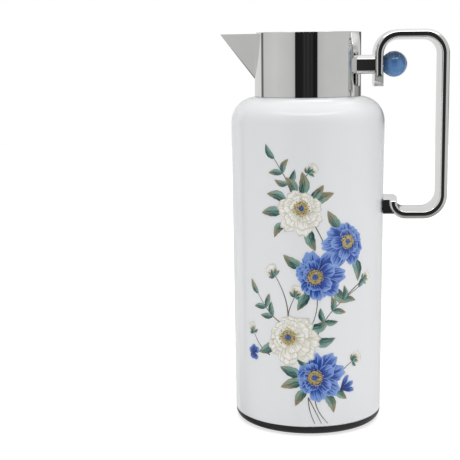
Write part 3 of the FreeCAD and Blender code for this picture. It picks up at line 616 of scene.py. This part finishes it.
def make_camera():
    camera = bpy.data.objects.new("camera", bpy.data.cameras.new("camera"))
    bpy.context.scene.collection.objects.link(camera)
    ahead = Vector((math.sin(CAMERA_YAW) * math.cos(CAMERA_PITCH),
                    math.cos(CAMERA_YAW) * math.cos(CAMERA_PITCH),
                    -math.sin(CAMERA_PITCH)))
    level = Vector((math.cos(CAMERA_YAW), -math.sin(CAMERA_YAW), 0))
    above = level.cross(ahead)
    right = level * math.cos(CAMERA_ROLL) + above * math.sin(CAMERA_ROLL)
    up = above * math.cos(CAMERA_ROLL) - level * math.sin(CAMERA_ROLL)
    turn = Matrix((right, up, -ahead)).transposed().to_4x4()
    camera.matrix_world = Matrix.Translation(CAMERA_AT) @ turn
    camera.data.lens = CAMERA_LENS
    camera.data.sensor_width = CAMERA_SENSOR
    camera.data.clip_start = CAMERA_NEAREST
    bpy.context.scene.camera = camera


def make_floor():
    """A plain pale table, a thin slab with its top at z = 0."""
    mesh = bpy.data.meshes.new("floor")
    corners = [(x * FLOOR_HALF, y * FLOOR_HALF, z) for z in (-FLOOR_THICKNESS, 0)
               for x, y in ((-1, -1), (1, -1), (1, 1), (-1, 1))]
    edges = [(side, (side + 1) % 4, (side + 1) % 4 + 4, side + 4) for side in range(4)]
    mesh.from_pydata(corners, [], [(3, 2, 1, 0), (4, 5, 6, 7), *edges])
    floor = bpy.data.objects.new("floor", mesh)
    bpy.context.scene.collection.objects.link(floor)
    shader = Shader("floor_paper", Roughness=0.9, Specular_IOR_Level=0.0, Emission_Color=(1, 1, 1, 1),
                    Emission_Strength=FLOOR_GLOW)
    shader.colour(shader.ramp(shader.noise(4, 2), [(0.3, 0.45), (0.7, 0.47)]))
    mesh.materials.append(shader.material)
    floor.visible_glossy = False


# The light tent's walls: (degrees from straight ahead of the jug's front, brightness). Its stripes imitate
# those in the photo's polished collar.
TENT = [(-180, 0.74), (-121, 0.74), (-119, 0.14), (-112, 0.14), (-110, 0.58), (-75, 0.62), (-36, 0.54),
        (-28, 0.48), (-26.8, 0.012), (-11, 0.014), (-7, 0.035), (-4, 0.018), (1, 0.035), (4, 0.018),
        (9, 0.030), (12, 0.010), (20.2, 0.012), (21.4, 0.50), (40, 0.56), (96, 0.58), (180, 0.74)]
# Dark cloths hung low at the right, as polished metal shows them: how much of the wall's light they let by.
CLOTHS = [(96, 1.0), (104, 0.7), (108, 0.35), (113, 0.35), (118, 0.52), (135, 0.50), (148, 0.18), (168, 0.18),
          (179, 1.0)]
CLOTH_RISE = (-4.5, -3, 4, 8)
# Degrees above the horizon between which the walls give way to the bright top, for the light that falls on the
# jug and for the light that polished metal mirrors. Then the same for the ground.
TOP_RISE_LIT = (50, 62)
TOP_RISE_MIRRORED = (38, 52)
GROUND_RISE = (-40, -22)
# How bright the top, the walls and the ground are, and how far the light that falls on the jug leans to the
# right and to the back.
TENT_TOP_LIT = 5.4
DIFFUSE_GAIN = 0.735
WALL_LIT = 0.6
RIGHT_FILL = 0.28
BACK_FILL = 0.20
TENT_TOP_MIRRORED = 0.95
TENT_FLOOR = 0.86
TENT_FLOOR_MIRRORED = 0.35
BACKGROUND = 1.0
# A bright bar over the front and a dark flag low at the left, which only polished surfaces show.
BAR_GLOW = 5.0
BAR_RISE = (46, 47.5, 51, 52.5)
BAR_SPREAD = (-78, -62, 62, 78)
LOW_FLAG_GREY = 0.08
LOW_FLAG_RISE = (-68, -62, -20, -14)
LOW_FLAG_SPREAD = (-142, -136, -104, -98)


def band(shader, factor, degrees, half_turn):
    """One between the middle two of four angles and nothing outside them; the factor spans two half turns."""
    return shader.ramp(factor, [((angle + half_turn) / (2 * half_turn), level)
                                for angle, level in zip(degrees, (0.0, 1.0, 1.0, 0.0))])


def make_light():
    """A light tent all round: soft side walls, a bright top, a dark gap in front and a pale background."""
    world = bpy.data.worlds.new("studio")
    bpy.context.scene.world = world
    world.use_nodes = True
    # The world has a node tree of its own and no Principled BSDF, so only the calls for nodes are wanted.
    shader = Shader.__new__(Shader)
    shader.tree = world.node_tree
    output = shader.tree.nodes["World Output"]
    split = shader.add("SeparateXYZ")
    shader.feed(split.inputs[0], shader.add("TexCoord").outputs["Generated"])
    east, north, up = split.outputs
    turned = shader.math("ARCTAN2", east, shader.math("MULTIPLY", north, -1.0))
    around = shader.math("ADD", shader.math("MULTIPLY", turned, 0.5 / math.pi), 0.5)
    height = shader.math("ADD", shader.math("MULTIPLY", shader.math("ARCSINE", up), 1 / math.pi), 0.5)
    path = shader.add("LightPath").outputs
    mirrored = path["Is Glossy Ray"]
    walls = shader.ramp(around, [((angle + 180) / 360, grey) for angle, grey in TENT])
    cloths = shader.ramp(around, [((angle + 180) / 360, share) for angle, share in CLOTHS])
    hung = shader.math("MULTIPLY", band(shader, height, CLOTH_RISE, 90), mirrored)
    shaded = shader.mix(hung, walls, shader.mix(1.0, walls, cloths, blend="MULTIPLY"))
    dimmed = shader.mix(mirrored, shader.mix(1.0, walls, (WALL_LIT,) * 3, blend="MULTIPLY"), shaded)
    lit_lift, mirrored_lift = (shader.ramp(height, [((low + 90) / 180, 0.0), ((high + 90) / 180, 1.0)])
                               for low, high in (TOP_RISE_LIT, TOP_RISE_MIRRORED))
    lift = shader.mix(mirrored, lit_lift, mirrored_lift)
    top = shader.mix(mirrored, (TENT_TOP_LIT,) * 3, (TENT_TOP_MIRRORED,) * 3)
    sides = shader.mix(lift, dimmed, top)
    low, high = GROUND_RISE
    ground = shader.ramp(height, [((low + 90) / 180, 1.0), ((high + 90) / 180, 0.0)])
    below = shader.mix(mirrored, (TENT_FLOOR,) * 3, (TENT_FLOOR_MIRRORED,) * 3)
    tent = shader.mix(ground, sides, below)
    flag = shader.math("MULTIPLY", band(shader, around, LOW_FLAG_SPREAD, 180),
                       band(shader, height, LOW_FLAG_RISE, 90))
    flagged = shader.mix(flag, tent, (LOW_FLAG_GREY,) * 3)
    bar = shader.math("MULTIPLY", band(shader, around, BAR_SPREAD, 180),
                      band(shader, height, BAR_RISE, 90))
    polished = shader.mix(bar, flagged, (BAR_GLOW,) * 3)
    from_right = shader.math("MULTIPLY", east, RIGHT_FILL)
    from_back = shader.math("MULTIPLY", north, BACK_FILL)
    lean = shader.math("ADD", from_right, from_back)
    tilt = shader.math("MULTIPLY", shader.math("ADD", lean, 1.0), DIFFUSE_GAIN)
    soft = shader.mix(1.0, tent, shader.joined(tilt, tilt, tilt), blend="MULTIPLY")
    lit = shader.mix(mirrored, soft, polished)
    paint = shader.add("Background")
    shader.feed(paint.inputs["Color"], shader.mix(path["Is Camera Ray"], lit, (BACKGROUND,) * 3))
    shader.tree.links.new(paint.outputs[0], output.inputs[0])


bpy.context.scene.view_settings.view_transform = "Standard"
make_camera()
make_floor()
make_light()
finish_cad_parts()
make_springs()
paint_flowers()
